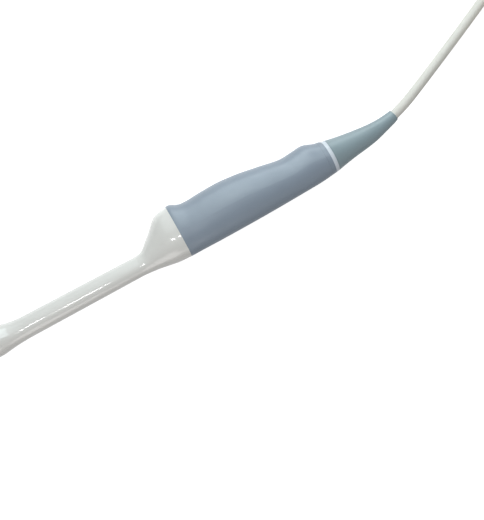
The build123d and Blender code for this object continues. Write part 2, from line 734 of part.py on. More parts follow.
def strain_relief():
    """The tapered boot, with the collar that holds it behind the ring's spigot."""
    root_radius = END_RADIUS - RING_TAPER
    sections = [relief_plane(0) * Circle(root_radius)]
    for along, fall in RELIEF_TAPER:
        radius = blend(root_radius, RELIEF_TIP_RADIUS, fall)
        sections.append(relief_plane(RELIEF_LENGTH * along) * Circle(radius))
    sections.append(relief_plane(RELIEF_LENGTH) * Circle(RELIEF_TIP_RADIUS))
    boot = loft(sections)
    collar_start = HANDLE_LENGTH - RING_SPIGOT - RELIEF_COLLAR
    neck_radius = RING_BORE - FIT
    neck = rod(collar_start, END_Y, neck_radius, RING_END - collar_start)
    collar = rod(collar_start, END_Y, neck_radius + RELIEF_COLLAR_RIM, RELIEF_COLLAR)
    return boot + neck + collar - bent_bar(collar_start, CABLE_RADIUS + FIT)


def cable_lead_in():
    """The end of the cable's jacket, from the clamp to the strain relief's tip."""
    return bent_bar(JACKET_START, CABLE_RADIUS)


# Free cable. Its points are given above the table, not above the probe's mid-plane.

def exit_point():
    tip = relief_plane(RELIEF_LENGTH).origin
    return Vector(tip.X, tip.Y, axis_height())


def coil_direction(angle):
    """The way the cable runs where it passes an angle of the coil, which winds clockwise."""
    turn = math.radians(angle)
    return Vector(math.sin(turn), -math.cos(turn), 0)


def coil_spoke(angle):
    """The unit vector from the coil's centre towards an angle."""
    turn = math.radians(angle)
    return Vector(math.cos(turn), math.sin(turn), 0)


def run_points():
    """The cable's way from the strain relief to the coil."""
    start = exit_point()
    points = [start, start + relief_plane(RELIEF_LENGTH).z_dir * CABLE_LEAD]
    drop = start.Z - CABLE_RADIUS
    for along, aside, share in CABLE_ROUTE:
        points.append(start + Vector(along, aside, -drop * share))
    return points + [points[-1] + coil_direction(COIL_ENTRY_ANGLE) * CABLE_LANDING]


def coil_centre():
    """The coil's centre on the table, from where the cable joins its stub."""
    joint = run_points()[-1]
    entry = joint + coil_direction(COIL_ENTRY_ANGLE) * COIL_ENTRY_STUB
    centre = entry - coil_spoke(COIL_ENTRY_ANGLE) * COIL_OUTER
    return Vector(centre.X, centre.Y, 0)


def coil_exit():
    """Where the coil's last turn, outermost in the top layer, goes straight."""
    height = COIL_HEIGHT - CABLE_RADIUS
    return coil_centre() + coil_spoke(COIL_EXIT_ANGLE) * COIL_OUTER + Vector(0, 0, height)


def tail_points():
    """The cable's way from the coil to the connector's boot."""
    start = coil_exit() + coil_direction(COIL_EXIT_ANGLE) * COIL_EXIT_STUB
    points = [start, start + coil_direction(COIL_EXIT_ANGLE) * TAIL_LEAD]
    rise = PLUG_HEIGHT / 2 - start.Z
    for along, aside, share in TAIL_ROUTE:
        points.append(start + Vector(along, aside, rise * share))
    return points


def cable_tube(points, name):
    """Straight runs joined by arcs as large as their runs allow."""
    radii = []
    for before, corner, after in zip(points, points[1:], points[2:]):
        first = corner - before
        second = after - corner
        half_turn = math.radians(first.get_angle(second) / 2)
        radii.append(ARC_SHARE * min(first.length, second.length) / math.tan(half_turn))
    path = FilletPolyline(*points, radius=radii)
    first_run = points[1] - points[0]
    tube = sweep(Plane(origin=points[0], z_dir=first_run) * Circle(CABLE_RADIUS), path=path)
    filled = tube.volume / (math.pi * CABLE_RADIUS ** 2 * path.length)
    print(name, "radii", [round(radius) for radius in radii], "length", round(path.length, 1),
          "volume share", round(filled, 4))
    return tube


def cable_coil():
    """The outer form of the spare cable's coil, with a stub at each end of it."""
    section = RectangleRounded(COIL_COLUMNS * PITCH, COIL_HEIGHT, COIL_CORNER)
    ring = revolve(Plane.XZ * Pos(COIL_RADIUS, COIL_HEIGHT / 2) * section, Axis.Z)
    centre = coil_centre()
    coil = Pos(centre.X, centre.Y, 0) * ring
    entry_way = coil_direction(COIL_ENTRY_ANGLE)
    entry_plane = Plane(origin=run_points()[-1], z_dir=entry_way)
    exit_way = coil_direction(COIL_EXIT_ANGLE)
    exit_plane = Plane(origin=tail_points()[0], z_dir=exit_way)
    coil += extrude(entry_plane * Circle(CABLE_RADIUS), COIL_ENTRY_STUB)
    coil += extrude(exit_plane * Circle(CABLE_RADIUS), -COIL_EXIT_STUB)
    return coil


# Connector, drawn about the boot's axis with x = 0 at the housing's cable side, y from the
# mating side to the knob's side and z = 0 at the seam of its covers.

PLUG_FRONT = PLUG_BACK - PLUG_DEPTH
PLUG_MIDDLE = PLUG_LENGTH / 2
SHROUD_FRONT = PLUG_FRONT - SHROUD_REACH
SHROUD_BACK = PLUG_FRONT + PLUG_WALL + SHROUD_FLANGE
BLOCK_FRONT = PLUG_FRONT - BLOCK_FACE
BLOCK_BACK = BLOCK_FRONT + BLOCK_DEPTH
PLUG_BOARD_FRONT = BLOCK_BACK + PLUG_BOARD_GAP
PLUG_BOARD_BACK = PLUG_BOARD_FRONT + PLUG_BOARD_THICKNESS
LOCK_BAR_FRONT = BLOCK_FRONT - RUN - LOCK_BAR_DEPTH
LOCK_END = PLUG_BACK + RUN + KNOB_THICKNESS
PLUG_FLOOR = -PLUG_HEIGHT / 2
PLUG_INSIDE = PLUG_HEIGHT / 2 - PLUG_WALL


def facing(y):
    """A plane across the connector's depth, with its own X along it and its own Y down."""
    return Plane(origin=(PLUG_MIDDLE, y, 0), x_dir=(1, 0, 0), z_dir=(0, 1, 0))


def depth_bar(radius, y1, y2):
    """A cylinder about the lock's axis between two depths."""
    return extrude(facing(y1) * Circle(radius), y2 - y1)


def depth_frame(length, height, corner, y1, y2):
    """A bar of rounded rectangular section between two depths."""
    return extrude(facing(y1) * RectangleRounded(length, height, corner), y2 - y1)


def plug_screw_places():
    """Four places behind the board, the front two just clear of it and of the cable."""
    inset = PLUG_WALL + BOOT_FLANGE + PLUG_BOSS_RADIUS + RUN
    return [
        (x, y)
        for x in (inset, PLUG_LENGTH - inset)
        for y in (PLUG_BOARD_BACK + PLUG_BOSS_RADIUS + RUN, PLUG_BACK - PLUG_WALL - PLUG_BOSS_INSET)
    ]


def plug_outline(inset):
    """The connector's outline seen from above, or one that lies an inset inside it."""
    outline = RectangleRounded(PLUG_LENGTH - 2 * inset, PLUG_DEPTH - 2 * inset, PLUG_CORNER - inset)
    return Pos(PLUG_MIDDLE, (PLUG_FRONT + PLUG_BACK) / 2) * outline


def grip_recess():
    """The sunk thumb grip in the upper cover, less the ribs across it."""
    recess = RectangleRounded(GRIP_LENGTH, GRIP_DEPTH, GRIP_CORNER)
    for number in range(GRIP_RIBS):
        offset = (number - (GRIP_RIBS - 1) / 2) * GRIP_RIB_PITCH
        recess -= Pos(0, offset) * Rectangle(GRIP_LENGTH - 2 * GRIP_CORNER, GRIP_RIB_WIDTH)
    middle = Pos(PLUG_MIDDLE, (PLUG_FRONT + PLUG_BACK) / 2, PLUG_HEIGHT / 2 - GRIP_SINK)
    return middle * extrude(recess, GRIP_SINK)


def plug_case():
    """Both covers as one closed case with its windows, before it is split at the seam."""
    case = extrude(plug_outline(0), PLUG_HEIGHT / 2, both=True)
    rims = case.edges().group_by(Axis.Z)
    case = fillet(rims[0] + rims[-1], PLUG_EDGE)
    case -= extrude(plug_outline(0) - plug_outline(PLUG_SEAM_DEPTH), PLUG_SEAM_WIDTH / 2, both=True)
    guard_radius = KNOB_RADIUS + RUN
    guard = depth_bar(guard_radius + KNOB_GUARD_WALL, PLUG_BACK - ROOT, PLUG_BACK + KNOB_GUARD_HEIGHT)
    case += guard - depth_bar(guard_radius, PLUG_BACK, PLUG_BACK + KNOB_GUARD_HEIGHT)
    case -= extrude(plug_outline(PLUG_WALL), PLUG_INSIDE, both=True)
    case -= depth_frame(SHROUD_LENGTH + 2 * FIT, SHROUD_HEIGHT + 2 * FIT, SHROUD_WALL,
                        PLUG_FRONT, PLUG_FRONT + PLUG_WALL)
    case -= depth_bar(LOCK_RADIUS + BUSH_WALL + 2 * FIT, PLUG_BACK - PLUG_WALL, PLUG_BACK)
    case -= rod(0, 0, BOOT_NECK_RADIUS + FIT, PLUG_WALL)
    return case


def plug_bosses(bottom, top):
    bosses = Part()
    for x, y in plug_screw_places():
        bosses += post(x, y, PLUG_BOSS_RADIUS, bottom, top)
    return bosses


def board_rails(bottom, top):
    """Two ribs in each cover that hold the connector's board upright."""
    rails = Part()
    for y1 in (PLUG_BOARD_FRONT - FIT - PLUG_RAIL_WIDTH, PLUG_BOARD_BACK + FIT):
        for start, end in PLUG_RAIL_SPANS:
            rails += block(PLUG_LENGTH * start, PLUG_LENGTH * end, y1, y1 + PLUG_RAIL_WIDTH, bottom, top)
    return rails


def connector_cover_upper():
    above = block(0, PLUG_LENGTH, PLUG_FRONT, PLUG_BACK + KNOB_GUARD_HEIGHT, 0, PLUG_HEIGHT / 2)
    cover = (plug_case() & above) - grip_recess()
    cover += plug_bosses(0, PLUG_INSIDE + ROOT)
    cover += board_rails(PLUG_INSIDE - PLUG_RAIL_HEIGHT, PLUG_INSIDE + ROOT)
    tip = PLUG_FLOOR + PLUG_WALL + PLUG_SCREW_LENGTH
    for x, y in plug_screw_places():
        cover -= post(x, y, PLUG_SCREW_RADIUS + FIT, 0, tip + FIT)
    return cover


def connector_cover_lower():
    below = block(0, PLUG_LENGTH, PLUG_FRONT, PLUG_BACK + KNOB_GUARD_HEIGHT, PLUG_FLOOR, 0)
    floor = PLUG_FLOOR + PLUG_WALL
    cover = plug_case() & below
    cover += plug_bosses(floor - ROOT, 0)
    cover += board_rails(floor - ROOT, floor + PLUG_RAIL_HEIGHT)
    for x, y in plug_screw_places():
        cover -= post(x, y, PLUG_SCREW_RADIUS + FIT, PLUG_FLOOR, 0)
        cover -= post(x, y, PLUG_SCREW_HEAD_RADIUS + FIT, PLUG_FLOOR, floor)
    return cover


def cover_screws():
    """Four screws driven up through the lower cover, with their heads in its recesses."""
    screws = []
    for x, y in plug_screw_places():
        sizes = (PLUG_SCREW_RADIUS, PLUG_SCREW_HEAD_RADIUS, PLUG_SCREW_HEAD_HEIGHT, PLUG_SCREW_LENGTH)
        screw = upright_screw(0, 0, 0, *sizes)
        screws.append(Pos(x, y, PLUG_FLOOR + PLUG_WALL) * Rot(180, 0, 0) * screw)
    return screws


def contact_shroud():
    """The metal rim around the contacts, with its flange inside the covers."""
    rim = depth_frame(SHROUD_LENGTH, SHROUD_HEIGHT, SHROUD_WALL, SHROUD_FRONT, SHROUD_BACK)
    flange = depth_frame(SHROUD_LENGTH + 2 * SHROUD_RIM, SHROUD_HEIGHT + 2 * SHROUD_RIM, SHROUD_WALL,
                         PLUG_FRONT + PLUG_WALL, SHROUD_BACK)
    cavity = depth_frame(SHROUD_LENGTH - 2 * SHROUD_WALL, SHROUD_HEIGHT - 2 * SHROUD_WALL,
                         SHROUD_WALL / 2, SHROUD_FRONT, SHROUD_BACK)
    return rim + flange - cavity


def pin_places():
    """Places of the contacts, clear of the lock's bar."""
    places = []
    for column in range(PIN_COLUMNS):
        for row in range(PIN_ROWS):
            x = (column - (PIN_COLUMNS - 1) / 2) * PIN_PITCH
            z = (row - (PIN_ROWS - 1) / 2) * PIN_PITCH
            if abs(x) > PIN_KEEP_OUT:
                places.append((x, z))
    return places


def contact_block():
    """The insulator that fills the shroud and holds the contacts."""
    body = depth_frame(SHROUD_LENGTH - 2 * SHROUD_WALL - 2 * FIT, SHROUD_HEIGHT - 2 * SHROUD_WALL - 2 * FIT,
                       SHROUD_WALL / 2, BLOCK_FRONT, BLOCK_BACK)
    body -= depth_bar(LOCK_RADIUS + RUN, BLOCK_FRONT, BLOCK_BACK)
    holes = Sketch()
    for x, z in pin_places():
        holes += Pos(x, z) * Rectangle(PIN_SIZE, PIN_SIZE)
    return body - extrude(facing(BLOCK_FRONT) * holes, BLOCK_DEPTH)


def contact_pins():
    """Square contacts through the block, from the mating side to the board."""
    pins = []
    for x, z in pin_places():
        section = facing(BLOCK_FRONT - PIN_REACH) * Pos(x, z) * Rectangle(PIN_SIZE, PIN_SIZE)
        pins.append(extrude(section, PIN_REACH + BLOCK_DEPTH + PLUG_BOARD_GAP))
    return pins


def connector_board():
    """The board behind the contacts, slotted into the covers' ribs."""
    half = PLUG_INSIDE - FIT
    inset = PLUG_WALL + PLUG_BOARD_INSET
    board = block(inset, PLUG_LENGTH - inset, PLUG_BOARD_FRONT, PLUG_BOARD_BACK, -half, half)
    return board - depth_bar(LOCK_RADIUS + RUN, PLUG_BOARD_FRONT, PLUG_BOARD_BACK)


def connector_boot():
    """The cable's boot with grooves that let it bend, held by its flange inside the covers."""
    boot = loft([
        across(-BOOT_LENGTH) * Circle(BOOT_TIP_RADIUS),
        across(-BOOT_LENGTH / 2) * Circle(blend(BOOT_TIP_RADIUS, BOOT_RADIUS, BOOT_MIDDLE)),
        across(0) * Circle(BOOT_RADIUS),
    ])
    tip_slope = (blend(BOOT_TIP_RADIUS, BOOT_RADIUS, BOOT_MIDDLE) - BOOT_TIP_RADIUS) / (BOOT_LENGTH / 2)
    for number in range(BOOT_GROOVES):
        along = BOOT_GROOVE_PITCH * (number + 1)
        floor = BOOT_TIP_RADIUS + tip_slope * along - BOOT_GROOVE_DEPTH
        groove = rod(along - BOOT_LENGTH, 0, BOOT_RADIUS, BOOT_GROOVE_WIDTH)
        boot -= groove - rod(along - BOOT_LENGTH, 0, floor, BOOT_GROOVE_WIDTH)
    neck = rod(0, 0, BOOT_NECK_RADIUS, PLUG_WALL + BOOT_FLANGE)
    flange = rod(PLUG_WALL, 0, BOOT_NECK_RADIUS + BOOT_FLANGE_RIM, BOOT_FLANGE)
    bore = rod(-BOOT_LENGTH, 0, CABLE_RADIUS + FIT, BOOT_LENGTH + PLUG_WALL + BOOT_FLANGE)
    return boot + neck + flange - bore


def cable_lead_out():
    """The end of the cable's jacket inside the boot and the ferrule."""
    return rod(-BOOT_LENGTH, 0, CABLE_RADIUS, BOOT_LENGTH + PLUG_WALL + BOOT_FLANGE + FERRULE_LENGTH)


def cable_ferrule():
    start = PLUG_WALL + BOOT_FLANGE
    sleeve = rod(start, 0, CABLE_RADIUS + FIT + FERRULE_WALL, FERRULE_LENGTH)
    return sleeve - rod(start, 0, CABLE_RADIUS + FIT, FERRULE_LENGTH)


def connector_loom():
    """The bare wires from the jacket's end to the connector's board."""
    start = Vector(PLUG_WALL + BOOT_FLANGE + FERRULE_LENGTH, 0, 0)
    end = Vector(PLUG_LENGTH * LOOM_END, PLUG_BOARD_BACK, 0)
    path = Spline([start, end], tangents=[(1, 0, 0), (0, -1, 0)])
    return sweep(across(start.X) * Circle(BUNDLE_RADIUS), path=path)


def shaft_bush():
    """The brass bush in the back wall that the lock turns in."""
    radius = LOCK_RADIUS + BUSH_WALL
    sleeve = depth_bar(radius, PLUG_BACK - PLUG_WALL, PLUG_BACK)
    rim = depth_bar(radius + BUSH_RIM, PLUG_BACK - PLUG_WALL - BUSH_FLANGE, PLUG_BACK - PLUG_WALL)
    return sleeve + rim - depth_bar(LOCK_RADIUS + FIT, PLUG_BACK - PLUG_WALL - BUSH_FLANGE, PLUG_BACK)


def lock_shaft():
    """The lock's shaft, with the crossbar that engages behind the mating part."""
    shaft = depth_bar(LOCK_RADIUS, LOCK_BAR_FRONT, LOCK_END)
    hole = depth_bar(PLUG_SCREW_RADIUS + FIT, LOCK_END - KNOB_SCREW_LENGTH - FIT, LOCK_END)
    bar = depth_frame(LOCK_BAR_LENGTH, LOCK_BAR_WIDTH, LOCK_BAR_CORNER,
                      LOCK_BAR_FRONT, LOCK_BAR_FRONT + LOCK_BAR_DEPTH)
    return shaft + bar - hole


def lock_knob():
    """The knob on the shaft's end, a fluted disc with a grip bar across it."""
    back = PLUG_BACK + RUN
    disc = depth_bar(KNOB_RADIUS, back, back + KNOB_THICKNESS)
    disc = fillet(disc.edges().group_by(Axis.Y)[-1], KNOB_EDGE)
    flutes = Sketch()
    for place in PolarLocations(KNOB_RADIUS + KNOB_FLUTE_RADIUS - KNOB_FLUTE_DEPTH, KNOB_FLUTES):
        flutes += place * Circle(KNOB_FLUTE_RADIUS)
    disc -= extrude(facing(back + KNOB_GUARD_HEIGHT) * flutes, KNOB_THICKNESS)
    grip = depth_frame(KNOB_GRIP_LENGTH, KNOB_GRIP_WIDTH, KNOB_GRIP_CORNER,
                       back, back + KNOB_THICKNESS + KNOB_GRIP_HEIGHT)
    grip = fillet(grip.edges().group_by(Axis.Y)[-1], KNOB_GRIP_EDGE)
    knob = disc + grip - depth_bar(LOCK_RADIUS + FIT, back, back + KNOB_THICKNESS)
    floor = back + KNOB_THICKNESS
    return knob - depth_bar(KNOB_WELL_RADIUS, floor, floor + KNOB_GRIP_HEIGHT)


def knob_screw():
    """The screw in the knob's well that fixes it to the shaft."""
    top = LOCK_END + PLUG_SCREW_HEAD_HEIGHT
    head = depth_bar(KNOB_WELL_RADIUS - FIT, LOCK_END, top)
    shank = depth_bar(PLUG_SCREW_RADIUS, LOCK_END - KNOB_SCREW_LENGTH, LOCK_END)
    recess = depth_bar(PLUG_SCREW_RADIUS * SCREW_RECESS, LOCK_END + PLUG_SCREW_HEAD_HEIGHT / 2, top)
    return head + shank - recess


def lay(shape, place):
    """A piece, or each of a group of like pieces, moved to its place."""
    if isinstance(shape, list):
        return Compound(children=[place * piece for piece in shape])
    return place * shape


def main():
    os.makedirs("parts", exist_ok=True)
    probe = {
        "shaft_housing": shaft_housing(),
        "shoulder_seal": shoulder_seal(),
        "acoustic_lens": acoustic_lens(),
        "matching_layer": array_ring(ARRAY_RADIUS + PIEZO_THICKNESS, ARRAY_FACE, ARRAY_WIDTH),
        "piezo_array": array_ring(ARRAY_RADIUS, ARRAY_RADIUS + PIEZO_THICKNESS, ARRAY_WIDTH),
        "backing_block": backing_block(),
        "array_carrier": array_carrier(),
        "flex_circuit": flex_circuit(),
        "shield_tube": shield_tube(),
        "handle_shell_upper": handle_shell_upper(),
        "handle_shell_lower": handle_shell_lower(),
        "handle_chassis": handle_chassis(),
        "interposer_board": interposer_board(),
        "board_sockets": board_sockets(),
        "chassis_screws": chassis_screws(),
        "board_screws": board_screws(),
        "coax_bundle": coax_bundle(),
        "cable_clamp": cable_clamp(),
        "clamp_screws": clamp_screws(),
        "end_ring": end_ring(),
        "strain_relief": strain_relief(),
        "cable_lead_in": cable_lead_in(),
    }
    on_table = {
        "cable_run": cable_tube(run_points(), "cable_run"),
        "cable_coil": cable_coil(),
        "cable_tail": cable_tube(tail_points(), "cable_tail"),
    }
    connector = {
        "connector_boot": connector_boot(),
        "cable_lead_out": cable_lead_out(),
        "cable_ferrule": cable_ferrule(),
        "connector_loom": connector_loom(),
        "connector_cover_upper": connector_cover_upper(),
        "connector_cover_lower": connector_cover_lower(),
        "cover_screws": cover_screws(),
        "contact_shroud": contact_shroud(),
        "contact_block": contact_block(),
        "contact_pins": contact_pins(),
        "connector_board": connector_board(),
        "shaft_bush": shaft_bush(),
        "lock_shaft": lock_shaft(),
        "lock_knob": lock_knob(),
        "knob_screw": knob_screw(),
    }

    # The origin lies on the table under the middle of the probe's own box.
    raised = Pos(0, 0, axis_height())
    box = Compound(children=[lay(shape, raised) for shape in probe.values()]).bounding_box()
    middle = box.center()
    to_origin = Pos(-middle.X, -middle.Y, 0)
    print("origin", round(middle.X, 3), round(middle.Y, 3), "lowest", round(box.min.Z, 4))

    boot_tip = tail_points()[-1]
    plug_place = Pos(boot_tip.X + BOOT_LENGTH, boot_tip.Y, boot_tip.Z)
    for name, shape in probe.items():
        export_step(lay(shape, to_origin * raised), f"parts/{name}.step")
    for name, shape in on_table.items():
        export_step(lay(shape, to_origin), f"parts/{name}.step")
    for name, shape in connector.items():
        export_step(lay(shape, to_origin * plug_place), f"parts/{name}.step")


main()
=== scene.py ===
"""Finishes, cable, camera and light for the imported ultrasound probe.

Places on the part's drawing are in millimetres, and place() takes them into the row's frame. The
grain of a finish is in micrometres, and every other length is in metres.
"""

import math

import bmesh
import bpy
from mathutils import Matrix, Vector


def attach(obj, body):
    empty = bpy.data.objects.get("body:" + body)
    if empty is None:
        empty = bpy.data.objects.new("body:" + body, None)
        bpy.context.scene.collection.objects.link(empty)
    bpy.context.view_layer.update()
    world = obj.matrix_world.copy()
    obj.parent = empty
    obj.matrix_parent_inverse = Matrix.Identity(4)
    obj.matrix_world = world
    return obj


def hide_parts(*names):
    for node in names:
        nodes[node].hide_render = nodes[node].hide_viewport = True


# The row frame's origin, as a place on the drawing.
ROW_ORIGIN = Vector((4.158, 8.006, 0.0))

# The cable: its sizes in metres, and how finely its curve and its round are divided.
CABLE_DIAMETER = 0.0072
CABLE_SMOOTHNESS = 8

# The cable's way from the strain relief's tip to where it joins the coil, on the drawing.
CABLE_ROUTE = [
    (178.253, 6.870, 15.499),
    (187.912, 9.458, 15.499),
    (205.653, 16.870, 13.119),
    (224.053, 24.670, 8.122),
    (243.353, 33.070, 4.433),
    (263.353, 42.070, 3.600),
    (282.385, 50.945, 3.600),
]
# Its way from the coil, over the outer turns and down to the plug's boot.
TAIL_ROUTE = [
    (351.7, 46.6, 32.6),
    (360.1, 42.8, 31.0),
    (367.5, 38.0, 27.6),
    (374.9, 32.8, 24.4),
    (383.3, 28.6, 21.6),
    (393.012, 26.806, 20.0),
    (405.012, 26.806, 20.0),
]

# The coil on the drawing winds clockwise, with an outer and an inner turn in each layer. Its angles
# are in degrees.
COIL_CENTRE = (320.872, 25.198)
COIL_RADIUS = 36.0
COIL_PITCH = 7.2
COIL_LAYERS = 4
COIL_ENTRY_ANGLE = 115.0
COIL_EXIT_ANGLE = 50.0
COIL_TURNS = 2 * COIL_LAYERS + (COIL_ENTRY_ANGLE - COIL_EXIT_ANGLE) / 360
COIL_STEP = 15.0
# When a layer's cable starts to change lane, has changed, starts to climb and has climbed, in
# turns since that layer began.
COIL_TIMES = (0.85, 1.0, 1.75, 1.95)
# How the last turn rises into the hollow between the two below: turns made, radius and height.
COIL_TOP = [(7.98, COIL_RADIUS, 31.6), (9.0, COIL_RADIUS, 32.4)]

# The strap that ties the coil, on the drawing: the angle where it goes round the turns, half its
# size across and up, the radius and height of its middle, and the sizes of the strap itself.
TIE_ANGLE = 292.0
TIE_HALF = (8.1, 14.8)
TIE_MIDDLE = (COIL_RADIUS, TIE_HALF[1])
TIE_CORNER = 5.0
TIE_WIDTH = 11.0
TIE_THICKNESS = 0.9
TIE_OVERLAP = 17.0
TIE_LIFT_RUN = 8.0
TIE_STEPS = 120
TIE_STRAIGHTS = [half - TIE_THICKNESS / 2 - TIE_CORNER for half in TIE_HALF]
TIE_QUARTER = math.pi / 2 * TIE_CORNER
TIE_LOOP = 4 * (sum(TIE_STRAIGHTS) + TIE_QUARTER)
TIE_EDGE = 0.00025  # the bevel on its edges, in metres

MICROMETRE = 0.000001  # in metres

# What moulded plastics and rubbers share
MOTTLE_SIZE = 0.02
GLOSS_PATCH_SIZE = 0.006
GLOSS_CHANGE = 0.03
GRAIN_DETAIL = 2.0
COAT_ROUGHNESS = 0.07

# What metals share: their fine marks, and how far these change the colour and the roughness.
MARK_SIZE = 0.0006
MARK_DEPTH = 0.00001
MARK_DETAIL = 4.0
MARK_SHADES = (-0.12, 0.06)
MARK_ROUGHNESS = (-0.06, 0.08)

# Lines in the handle's plastic, in the row's frame: the seam between its shells, a dark joint, and
# the faint crease across it ahead of the end ring, whose darkening is painted shade over a real bump.
HANDLE_SEAM = dict(middle=0.015499, width=0.00025, depth=0.0002, darkness=0.75)
HANDLE_CREASE = dict(middle=0.1138, width=0.0004, depth=0.00008, darkness=0.22)
# The dark colour of both lines: the seam's own dark joint, and painted shade in the crease.
JOINT_AND_SHADE_COLOUR = (62, 68, 80)

# The camera: what the photograph's middle shows and where the camera stands, on the drawing, its
# roll in degrees and its lens in pixels of the photograph.
LOOK_AT = (30.2, -32.0, 15.5)
CAMERA_AT = (-27.0, -32.0, 915.5)
CAMERA_ROLL = 29.0
LENS_PIXELS = 1250.0
PICTURE_LONG_SIDE = 520.0
SENSOR_WIDTH = 36.0

# Soft lamps: name, place and what it faces on the drawing, width and height in metres, watts and
# tint. The first three stand on the thumb side and give its broad highlights, the fill stands on
# the other side, and the strips are mirrored as the two glints on the shaft.
LAMPS = [
    ("key_shaft", (-150, 600, 580), (-150, 0, 0), (0.34, 1.15), 0.8, (0.96, 1.0, 1.0)),
    ("key_handle", (205, 570, 630), (205, 0, 0), (0.32, 1.3), 5.1, (0.88, 1.0, 1.02)),
    ("low_side", (430, 620, 130), (150, 0, 10), (0.5, 0.24), 1.2, (0.9, 1.0, 1.03)),
    ("fill", (-330, -720, 300), (-110, 0, 0), (0.5, 0.45), 1.45, (1.0, 0.98, 0.96)),
    ("strip_near", (-126, -165, 930), (-80, 0, 0), (0.07, 0.05), 0.38, (1.0, 1.0, 1.0)),
    ("strip_far", (-222, -120, 930), (-120, 0, 0), (0.055, 0.05), 0.32, (1.0, 1.0, 1.0)),
]
# The direction that a lamp's height lies along, as nearly as what it faces allows.
LAMP_UP = Vector((0, 1, 0.01))

ROOM_COLOUR = (0.96, 0.98, 1.0, 1.0)
ROOM_STRENGTH = 0.25
WHITE = (1.0, 1.0, 1.0, 1.0)

# The floor. It glows for the camera, in glossy surfaces and through clear ones, and doesn't light
# the object. Glossy surfaces see the glow rise across a band along the probe, towards its thumb
# side.
FLOOR_REACH = 3.0
FLOOR_COLOUR = (0.5, 0.5, 0.5, 1.0)
FLOOR_ROUGHNESS = 0.9
CAMERA_GLOW = 0.9
CLEAR_GLOW = 0.4
MIRRORED_BAND = (-0.04, 0.04)
MIRRORED_GLOW = (0.25, 1.4)


def place(x, y, z):
    """A place on the drawing, in the row frame."""
    return (Vector((x, y, z)) - ROW_ORIGIN) / 1000


def smooth_step(share):
    """The share held between 0 and 1, with a slow start and end."""
    share = min(1.0, max(0.0, share))
    return share * share * (3 - 2 * share)


def new_object(name, data):
    """An object with that data, linked to the scene."""
    made = bpy.data.objects.new(name, data)
    bpy.context.scene.collection.objects.link(made)
    return made


# Materials


def linear(red, green, blue):
    """A colour given as seen on a screen, 0 to 255, as the shader wants it, by the sRGB curve."""
    shares = [value / 255 for value in (red, green, blue)]
    return [s / 12.92 if s <= 0.04045 else ((s + 0.055) / 1.055) ** 2.4 for s in shares] + [1.0]


def shade(colour, share):
    """The colour made lighter or darker by that share."""
    return [min(1.0, channel * (1 + share)) for channel in colour[:3]] + [1.0]


class Finish:
    """A procedural material: one shader, with the texture nodes that vary it."""

    # A colour mix's own sockets. Its sockets for numbers and vectors have the same names.
    MIX_INPUTS = (6, 7)
    MIX_OUTPUT = 2

    def __init__(self, slot):
        self.slot = slot
        self.material = bpy.data.materials.new(slot)
        self.material.use_nodes = True
        self.nodes = self.material.node_tree.nodes
        self.link = self.material.node_tree.links.new
        self.shader = self.nodes["Principled BSDF"]
        self.position = self.nodes.new("ShaderNodeTexCoord").outputs["Object"]

    def noise(self, size, detail=3.0, stretch=(1, 1, 1)):
        """Cloudy noise whose blobs are about size metres across."""
        mapping = self.nodes.new("ShaderNodeMapping")
        mapping.inputs["Scale"].default_value = [1 / (size * times) for times in stretch]
        texture = self.nodes.new("ShaderNodeTexNoise")
        texture.inputs["Scale"].default_value = 1.0
        texture.inputs["Detail"].default_value = detail
        self.link(self.position, mapping.inputs["Vector"])
        self.link(mapping.outputs["Vector"], texture.inputs["Vector"])
        return texture.outputs["Fac"]

    def spread(self, value, low, high, start=0.3, end=0.7):
        """The value's range from start to end, where most of a noise lies, turned into low to high."""
        node = self.nodes.new("ShaderNodeMapRange")
        node.inputs["From Min"].default_value = start
        node.inputs["From Max"].default_value = end
        node.inputs["To Min"].default_value = low
        node.inputs["To Max"].default_value = high
        self.link(value, node.inputs["Value"])
        return node.outputs["Result"]

    def mix(self, share, first, second):
        """Two colours, or two colour outputs, mixed by the share."""
        node = self.nodes.new("ShaderNodeMix")
        node.data_type = "RGBA"
        self.link(share, node.inputs["Factor"])
        for index, colour in zip(self.MIX_INPUTS, (first, second)):
            if isinstance(colour, list):
                node.inputs[index].default_value = colour
            else:
                self.link(colour, node.inputs[index])
        return node.outputs[self.MIX_OUTPUT]

    def colour(self, output):
        """Gives the shader that output as its colour."""
        self.link(output, self.shader.inputs["Base Color"])

    def roughness(self, output):
        """Gives the shader that output as its roughness."""
        self.link(output, self.shader.inputs["Roughness"])

    def bump(self, height, depth):
        """Adds a bump of that depth in metres on top of the ones there are."""
        node = self.nodes.new("ShaderNodeBump")
        node.inputs["Distance"].default_value = depth
        self.link(height, node.inputs["Height"])
        normal = self.shader.inputs["Normal"]
        if normal.is_linked:
            self.link(normal.links[0].from_socket, node.inputs["Normal"])
        self.link(node.outputs["Normal"], normal)

    def groove(self, axis, middle, width, depth, darkness):
        """A fine line round the piece, where it crosses that place on the axis."""
        axes = self.nodes.new("ShaderNodeSeparateXYZ")
        self.link(self.position, axes.inputs[0])
        inside = self.nodes.new("ShaderNodeMath")
        inside.operation = "COMPARE"
        inside.inputs[1].default_value = middle
        inside.inputs[2].default_value = width / 2
        self.link(axes.outputs[axis], inside.inputs[0])
        plain = self.shader.inputs["Base Color"].links[0].from_socket
        share = self.spread(inside.outputs[0], 0, darkness, 0, 1)
        self.colour(self.mix(share, plain, linear(*JOINT_AND_SHADE_COLOUR)))
        self.bump(self.spread(inside.outputs[0], 1, 0, 0, 1), depth)


